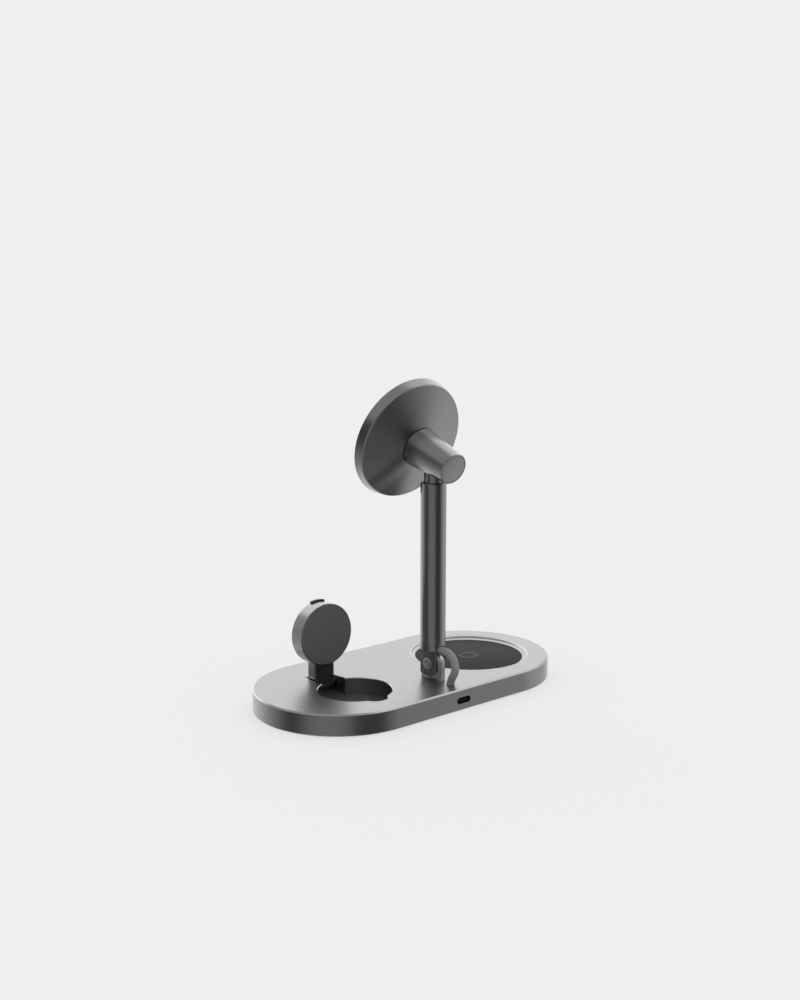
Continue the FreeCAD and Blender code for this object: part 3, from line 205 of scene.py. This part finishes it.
def printed_silicone(name):
    """Dark silicone with a powdery skin. A rounded outline, 9 by 7 mm, is printed in its middle: the
    points at the corner's radius from a rectangle, whose half sides are those of the outline less
    that radius."""
    half_sides = (2.9 * MM, 1.9 * MM, 1.0)
    radius = 1.6 * MM
    material, tree, shader, place = new_material(name)
    centred = add_node(tree, "ShaderNodeVectorMath", {0: place, 1: PAD_MIDDLE}, operation="SUBTRACT")
    folded = add_node(tree, "ShaderNodeVectorMath", {0: centred.outputs[0]}, operation="ABSOLUTE")
    corner = add_node(tree, "ShaderNodeVectorMath", {0: folded.outputs[0], 1: half_sides},
                      operation="SUBTRACT")
    outside = add_node(tree, "ShaderNodeVectorMath", {0: corner.outputs[0], 1: (0, 0, 0)},
                       operation="MAXIMUM")
    reach = add_node(tree, "ShaderNodeVectorMath", {0: outside.outputs[0]}, operation="LENGTH")
    off_line = add_node(tree, "ShaderNodeMath", {0: reach.outputs["Value"], 1: radius}, operation="SUBTRACT")
    off_line = add_node(tree, "ShaderNodeMath", {0: off_line.outputs[0]}, operation="ABSOLUTE")
    ink = spread(tree, off_line.outputs[0], 1.0, 0.0, 0.22 * MM, 0.4 * MM)
    tone = add_node(tree, "ShaderNodeMix", {0: ink, 6: linear("#2c2c2d"), 7: linear("#6a6a6a")},
                    data_type="RGBA")
    tree.links.new(tone.outputs[2], shader.inputs["Base Color"])
    tree.links.new(spread(tree, noise(tree, place, 0.5, 3.0), 0.62, 0.72), shader.inputs["Roughness"])
    shader.inputs["Specular IOR Level"].default_value = 0.15
    dents(tree, shader, noise(tree, place, 0.35, 2.0), 0.012, 0.2)
    return material


def rubber(name, hex_code, rough):
    """Soft extruded rubber: matt, with faint flecks."""
    material, tree, shader, place = new_material(name)
    fleck = spread(tree, noise(tree, place, 0.6, 3.0), 0.0, 1.0)
    deep = [0.8 * part for part in linear(hex_code)[:3]] + [1.0]
    tone = add_node(tree, "ShaderNodeMix", {0: fleck, 6: linear(hex_code), 7: deep},
                    data_type="RGBA")
    tree.links.new(tone.outputs[2], shader.inputs["Base Color"])
    shader.inputs["Roughness"].default_value = rough
    shader.inputs["Sheen Weight"].default_value = 0.15
    dents(tree, shader, noise(tree, place, 0.3, 2.0), 0.012, 0.35)
    return material


SPACE_GREY = blasted_aluminium("space_grey_aluminium", "#a8a8a8", "#a6a6a6", 0.26)
BASE_ALUMINIUM = aluminium_with_painted_edge_highlight("base_aluminium", "#a8a8a8", "#c4c4c4", 0.26, 0.36, 0.2)
BLACK = moulded_plastic("black_plastic", "#555556", 0.42)
CABLE = rubber("cable_jacket", "#7e7e79", 0.62)
BRIGHT_STEEL = turned_steel("bright_steel", "#c8c8c8", 0.28)
FACED_STEEL = faced_steel("faced_steel", "#d8d8d8", 0.3)
BY_NODE = {
    "base_shell": BASE_ALUMINIUM,
    "arm_cover": moulded_plastic("black_gloss_strip", "#29292a", 0.35),
    "pocket_tray": moulded_plastic("pocket_black", "#3c3c3d", 0.3),
    "head_face": moulded_plastic("face_black", "#323233", 0.55),
    "puck_dome": moulded_plastic("dome_black", "#2c2c2d", 0.22),
    # The socket is coloured near black: painted shade standing in for the shade deep inside the port
    "usb_c_socket": moulded_plastic("socket_painted_shade", "#0a0a0a", 0.6),
}
BY_SLOT = {
    "grey_aluminium": SPACE_GREY,
    "bright_steel": BRIGHT_STEEL,
    "steel": turned_steel("screw_steel", "#b4b4b6", 0.3),
    "magnet": plain_metal("nickel_plate", "#c8c8ca", 0.25),
    "copper": plain_metal("enamelled_copper", "#b8683c", 0.35),
    "ferrite": plain_metal("ferrite", "#2e2e30", 0.6, 0.0),
    "circuit_board": plain_metal("solder_mask", "#1f4a30", 0.4, 0.0),
    "black_plastic": BLACK,
    "silicone": printed_silicone("pad_silicone"),
    "cable_jacket": CABLE,
}
for part in frame["record"]["subparts"]:
    mesh = nodes[part["node"]].data
    mesh.materials.clear()
    mesh.materials.append(BY_NODE.get(part["node"]) or BY_SLOT[part["material_slot"]])

# Link cable: the route of its tube, rear and up, in the middle plane
CABLE_ROUTE = (
    (20.9, 34.5), (20.6, 30.6), (22.1, 28.1), (24.8, 26.75), (27.8, 26.7), (31.0, 26.85),
    (34.1, 25.4), (36.2, 22.8), (37.0, 19.7), (36.0, 16.7), (34.1, 14.1), (33.2, 11.0), (33.2, 7.7),
)
CABLE_RADIUS = 1.95 * MM


def smooth_line(route):
    """The points along one smooth spline whose control points are the route's."""
    curve = bpy.data.curves.new("cable_line", "CURVE")
    curve.dimensions = "3D"
    spline = curve.splines.new("NURBS")
    spline.points.add(len(route) - 1)
    for point, place in zip(spline.points, route):
        point.co = (*place, 1.0)
    spline.order_u = 3
    spline.use_endpoint_u = True
    spline.resolution_u = 12
    holder = bpy.data.objects.new("cable_line", curve)
    mesh = bpy.data.meshes.new_from_object(holder)
    line = np.empty(3 * len(mesh.vertices))
    mesh.vertices.foreach_get("co", line)
    bpy.data.objects.remove(holder)
    bpy.data.curves.remove(curve)
    bpy.data.meshes.remove(mesh)
    return line.reshape(-1, 3)


def grid_mesh(name, points, ring=False):
    """A mesh from a grid of points, rows along and columns across. Columns close on themselves; the
    first and last rows meet in a ring, or else flat caps fill them."""
    rows, columns = points.shape[:2]
    index = np.arange(rows * columns).reshape(rows, columns)
    here, there = (index, np.roll(index, -1, 0)) if ring else (index[:-1], index[1:])
    faces = np.stack((here, np.roll(here, -1, 1), np.roll(there, -1, 1), there), -1)
    faces = faces.reshape(-1, 4).tolist()
    if not ring:
        faces += [index[0][::-1].tolist(), index[-1].tolist()]
    mesh = bpy.data.meshes.new(name)
    mesh.from_pydata(points.reshape(-1, 3).tolist(), [], faces)
    mesh.update()
    return mesh


def piece(name, mesh, material):
    """A new object at the origin with its mesh and finish."""
    mesh.materials.append(material)
    mesh.shade_smooth()
    item = bpy.data.objects.new(name, mesh)
    bpy.context.scene.collection.objects.link(item)
    return item


def cable_tube():
    """A circle of the cable's radius carried along its line. At each point it lies in the plane of the
    line's normal, in the middle plane, and the X axis."""
    line = smooth_line([(0.0, y * MM, z * MM) for y, z in CABLE_ROUTE])
    ahead = np.gradient(line, axis=0)
    ahead /= np.linalg.norm(ahead, axis=1, keepdims=True)
    across = np.array([1.0, 0.0, 0.0])
    up = np.cross(across, ahead)
    turn = np.linspace(0, 2 * np.pi, 40, endpoint=False)[None, :, None]
    rings = line[:, None] + CABLE_RADIUS * (np.cos(turn) * across + np.sin(turn) * up[:, None])
    cable = piece("cable_jacket_tube", grid_mesh("cable_jacket_tube", rings), CABLE)
    length = float(np.linalg.norm(np.diff(line, axis=0), axis=1).sum())
    return cable, line, length


cable, cable_line, cable_length = cable_tube()
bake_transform(cable)
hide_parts("link_cable")

# Foot hinge: its axis runs along X through PIVOT. The lug's reach is measured from there, and its
# foot ends inside the base
PIVOT = np.array([0.0, 20.27, 19.25]) * MM
LUG_TOP = 6.4 * MM
LUG_FRONT = 6.65 * MM
LUG_REAR = 7.3 * MM
LUG_HALF = 2.25 * MM
LUG_FOOT = 5.3 * MM
LUG_ROUNDING = 1.2 * MM
FLAT_OF_FORK = 3.5 * MM

# The pad ends this much below its solid, level with the floor of its recess, in millimetres
PAD_STEP = 0.28

# Head: its axis runs from the tilt hinge to the rear, and down
TILT = np.array([0.0, 20.27, 123.0]) * MM
HEAD_AXIS = np.array([0.0, 0.94438, -0.32887])
STEM_END = 15.06 * MM


def hinge_lug():
    """The tongue of the foot hinge: straight sides and a half ellipse over the hinge's axis, a little
    longer to the rear than to the front. The outline is carried across the thickness, and at both
    flat sides it draws in by r (1 - cos t) where it is r sin t further out, which rounds the edges."""
    turn = np.linspace(0, np.pi, 49)
    flat = np.zeros_like(turn)
    middle = (LUG_REAR - LUG_FRONT) / 2
    reach = (LUG_REAR + LUG_FRONT) / 2
    foot = LUG_FOOT - PIVOT[2]
    arc = np.stack((flat, middle + reach * np.cos(turn), LUG_TOP * np.sin(turn)), 1)
    arc_out = np.stack((flat, LUG_TOP * np.cos(turn), reach * np.sin(turn)), 1)
    edge = np.concatenate((arc, [[0, -LUG_FRONT, foot], [0, LUG_REAR, foot]]))
    outward = np.concatenate((arc_out, [[0, -1, 0], [0, 1, 0]]))
    outward /= np.linalg.norm(outward, axis=1, keepdims=True)
    bend = np.linspace(0, np.pi / 2, 7)
    inset = LUG_ROUNDING * (1 - np.cos(bend))
    rise = LUG_HALF - LUG_ROUNDING + LUG_ROUNDING * np.sin(bend)
    inset = np.concatenate((inset[::-1], inset))
    rise = np.concatenate((-rise[::-1], rise))
    along = np.array([1.0, 0.0, 0.0])
    rings = PIVOT + edge[None] - inset[:, None, None] * outward[None] + rise[:, None, None] * along
    return piece("hinge_lug", grid_mesh("hinge_lug", rings), BRIGHT_STEEL)


def lathe(name, profile, centre, axis, material, sides, ring=False):
    """A profile of radius and height, in millimetres, turned about an axis through centre: at the
    angle t, a point is centre + height axis + radius (cos t u + sin t v), with u and v square to the
    axis. A ring's profile closes on itself."""
    axis = np.array(axis, float) / np.linalg.norm(axis)
    across = np.cross(axis, [1.0, 0.0, 0.0] if abs(axis[0]) < 0.9 else [0.0, 1.0, 0.0])
    across /= np.linalg.norm(across)
    up = np.cross(axis, across)
    turn = np.linspace(0, 2 * np.pi, sides, endpoint=False)
    way = np.cos(turn)[:, None] * across + np.sin(turn)[:, None] * up
    radius, height = np.array(profile).T * MM
    rings = centre + height[:, None, None] * axis + radius[:, None, None] * way
    return piece(name, grid_mesh(name, rings, ring), material)


def recess_cove():
    """The cove round the pad: a gentle slope from the pad's rim up to the round of the recess."""
    profile = ((28.47, 9.6), (28.47, 9.7), (28.56, 9.75), (28.8, 9.82), (29.3, 9.95), (29.8, 10.09),
               (30.1, 10.2), (30.3, 10.29), (30.3, 9.6))
    centre = np.array([PAD_MIDDLE[0], PAD_MIDDLE[1], 0.0])
    return lathe("recess_cove", profile, centre, (0, 0, 1), BASE_ALUMINIUM, 192, True)


def end_cap():
    """The cap that closes the stem: a thin disc whose face is crowned. At the radius r it stands
    c (1 - (r / 7)^2) above the disc's edge, with c 0.22 mm."""
    radius = np.linspace(6.95, 0.05, 14)
    crown = -0.1 + 0.22 * (1 - (radius / 7.0) ** 2)
    profile = [(0.05, -1.1), (7.14, -1.1), (7.14, -0.22), (7.08, -0.13), *zip(radius, crown)]
    centre = TILT + STEM_END * HEAD_AXIS
    return lathe("stem_end_cap", profile, centre, HEAD_AXIS, SPACE_GREY, 96)


def hinge_head(name, side):
    """A low turned head, 0.35 mm proud of the fork, with a flat face and a shank behind."""
    profile = ((1.45, -1.6), (1.45, -0.2), (2.6, -0.15), (2.88, -0.05), (2.9, 0.12), (2.84, 0.26),
               (2.7, 0.33), (2.55, 0.35), (1.6, 0.35), (0.8, 0.35), (0.05, 0.35))
    centre = PIVOT + np.array([side * FLAT_OF_FORK, 0, 0])
    return lathe(name, profile, centre, (side, 0, 0), FACED_STEEL, 64)


def pad_disc():
    """The charging pad: a flat disc with a slightly rounded rim, level with the floor of its recess."""
    radius = (PAD_HIGH[0] - PAD_LOW[0]) / 2 / MM
    thickness = (PAD_HIGH[2] - PAD_LOW[2]) / MM - PAD_STEP
    profile = ((0.05, 0.0), (radius, 0.0), (radius, thickness - 0.2), (radius - 0.06, thickness - 0.06),
               (radius - 0.2, thickness), (0.05, thickness))
    centre = np.array([PAD_MIDDLE[0], PAD_MIDDLE[1], PAD_LOW[2]])
    return lathe("charging_pad", profile, centre, (0, 0, 1), BY_SLOT["silicone"], 160)


lug = hinge_lug()
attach(lug, "base")
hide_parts("pole_lug")
for node, side in (("pivot_screw", 1), ("pivot_nut", -1)):
    head = hinge_head(node + "_head", side)
    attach(head, "pole")
    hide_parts(node)
pad = pad_disc()
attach(pad, "base")
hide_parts("earbud_pad")
cove = recess_cove()
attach(cove, "base")
cap = end_cap()
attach(cap, "head")
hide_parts("stem_cap")

# Camera: at the photograph's place, its long lens as high as the object's middle
CAMERA_PLACE = Vector((0.42178, 0.48639, 0.21413))
CAMERA_AZIMUTH = math.radians(139.3461)
CAMERA_ELEVATION = math.radians(10.1691)
lens = bpy.data.cameras.new("camera")
lens.lens = 47.157
lens.sensor_width = 36.0
camera = bpy.data.objects.new("camera", lens)
bpy.context.scene.collection.objects.link(camera)
back = Vector((math.sin(CAMERA_AZIMUTH) * math.cos(CAMERA_ELEVATION),
               -math.cos(CAMERA_AZIMUTH) * math.cos(CAMERA_ELEVATION), math.sin(CAMERA_ELEVATION)))
camera.rotation_mode = "QUATERNION"
camera.rotation_quaternion = (-back).to_track_quat("-Z", "Y")
camera.location = CAMERA_PLACE
bpy.context.scene.camera = camera

# Studio: the metal shows a ring of upright soft boxes and dark flags, by compass direction, under
# one wide box overhead. Degrees from +X towards +Y, then the brightness there.
BACKGROUND = linear("#efefef")
BOXES = (
    (-180, 0.6), (-150, 0.9), (-130, 1.0), (-90, 0.95), (-72, 0.75), (-50, 0.4), (-36, 0.25),
    (-24, 0.08), (-8, 0.05), (6, 0.2), (16, 0.28), (50, 0.28), (64, 0.2), (74, 0.05), (108, 0.05),
    (122, 0.25), (131, 0.34), (142, 0.5), (152, 0.62), (180, 0.6),
)
# Where the ring ends above and below, as heights of a unit direction, and what is seen there. The
# table takes over most of what the ring shows, but not all.
HIGH_FROM, HIGH_TO, HIGH_LEVEL = 0.3, 0.5, (0.4, 0.4, 0.4, 1.0)
TABLE_FROM, TABLE_TO, TABLE_LEVEL = -0.25, -0.55, (0.45, 0.45, 0.45, 1.0)
RING_IN_TABLE = 0.78
# Two big soft boxes: the middle of each, where it ends and where it is full, as cosines, and its level
BIG_BOXES = (((-0.43, -0.75, 0.5), 0.70, 0.82, 1.38), ((-0.646, 0.173, 0.743), 0.82, 0.93, 0.9))
world = bpy.data.worlds.new("studio")
bpy.context.scene.world = world
world.use_nodes = True
tree = world.node_tree
tree.nodes.clear()
towards = add_node(tree, "ShaderNodeTexCoord").outputs["Generated"]
way = add_node(tree, "ShaderNodeSeparateXYZ", {0: towards})
compass = add_node(tree, "ShaderNodeMath", {0: way.outputs[1], 1: way.outputs[0]}, operation="ARCTAN2")
compass = spread(tree, compass.outputs[0], 0.0, 1.0, -math.pi, math.pi)
boxes = add_node(tree, "ShaderNodeValToRGB", {0: compass})
for angle, level in BOXES[1:-1]:
    boxes.color_ramp.elements.new((angle + 180) / 360).color = (level, level, level, 1.0)
for end, (angle, level) in ((0, BOXES[0]), (-1, BOXES[-1])):
    boxes.color_ramp.elements[end].color = (level, level, level, 1.0)
    boxes.color_ramp.elements[end].position = (angle + 180) / 360
high = add_node(tree, "ShaderNodeMapRange", {0: way.outputs[2], 1: HIGH_FROM, 2: HIGH_TO},
                interpolation_type="SMOOTHSTEP")
low = add_node(tree, "ShaderNodeMapRange", {0: way.outputs[2], 1: TABLE_FROM, 2: TABLE_TO},
               interpolation_type="SMOOTHSTEP")
table = add_node(tree, "ShaderNodeMix", {0: RING_IN_TABLE, 6: TABLE_LEVEL, 7: boxes.outputs[0]},
                 data_type="RGBA")
shine = add_node(tree, "ShaderNodeMix", {0: low.outputs[0], 6: boxes.outputs[0], 7: table.outputs[2]},
                 data_type="RGBA")
shine = add_node(tree, "ShaderNodeMix", {0: high.outputs[0], 6: shine.outputs[2], 7: HIGH_LEVEL},
                 data_type="RGBA")
for middle, edge, full, level in BIG_BOXES:
    nearness = add_node(tree, "ShaderNodeVectorMath", {0: towards, 1: Vector(middle).normalized()},
                        operation="DOT_PRODUCT").outputs["Value"]
    inside = add_node(tree, "ShaderNodeMapRange", {0: nearness, 1: edge, 2: full},
                      interpolation_type="SMOOTHSTEP")
    shine = add_node(tree, "ShaderNodeMix", {0: inside.outputs[0], 6: shine.outputs[2],
                                             7: (level, level, level, 1.0)}, data_type="RGBA")
lit = add_node(tree, "ShaderNodeBackground", {"Color": shine.outputs[2], "Strength": 1.0})
seen = add_node(tree, "ShaderNodeBackground", {"Color": BACKGROUND, "Strength": 1.0})
rays = add_node(tree, "ShaderNodeLightPath")
mix = add_node(tree, "ShaderNodeMixShader", {0: rays.outputs["Is Camera Ray"], 1: lit.outputs[0],
                                             2: seen.outputs[0]})
add_node(tree, "ShaderNodeOutputWorld", {"Surface": mix.outputs[0]})

# Fill: two very soft lights, which only matt surfaces show, from above and from the camera's side
FILL_SOFTNESS = math.radians(150)
for name, strength, source in (("fill_above", 1.3, Vector((0, 0, 1))), ("fill_camera", 1.0, back)):
    lamp = bpy.data.lights.new(name, "SUN")
    lamp.energy = strength
    lamp.angle = FILL_SOFTNESS
    fill = bpy.data.objects.new(name, lamp)
    fill.rotation_mode = "QUATERNION"
    fill.rotation_quaternion = (-source).to_track_quat("-Z", "Y")
    fill.visible_glossy = False
    bpy.context.scene.collection.objects.link(fill)

# Floor: pale, a hair below the foot. It shows the camera mostly the background's own tone, with a
# faint soft shadow
FLOOR_HALF = 3.0
FLOOR_HEIGHT = -0.05 * MM
FLOOR_GLOW = 0.75
floor_mesh = bpy.data.meshes.new("floor")
corners = [(x * FLOOR_HALF, y * FLOOR_HALF, FLOOR_HEIGHT) for x, y in ((-1, -1), (1, -1), (1, 1), (-1, 1))]
floor_mesh.from_pydata(corners, [], [(0, 1, 2, 3)])
floor = bpy.data.objects.new("floor", floor_mesh)
bpy.context.scene.collection.objects.link(floor)
paper = bpy.data.materials.new("backdrop_paper")
paper.use_nodes = True
tree = paper.node_tree
tree.nodes.clear()
matt = add_node(tree, "ShaderNodeBsdfDiffuse", {"Color": (0.7, 0.7, 0.7, 1.0)})
glow = add_node(tree, "ShaderNodeEmission", {"Color": BACKGROUND, "Strength": 1.0})
rays = add_node(tree, "ShaderNodeLightPath")
share = add_node(tree, "ShaderNodeMath", {0: rays.outputs["Is Camera Ray"], 1: FLOOR_GLOW},
                 operation="MULTIPLY")
mix = add_node(tree, "ShaderNodeMixShader", {0: share.outputs[0], 1: matt.outputs[0], 2: glow.outputs[0]})
add_node(tree, "ShaderNodeOutputMaterial", {"Surface": mix.outputs[0]})
floor_mesh.materials.append(paper)
floor.visible_glossy = False
bpy.context.scene.view_settings.view_transform = "Standard"
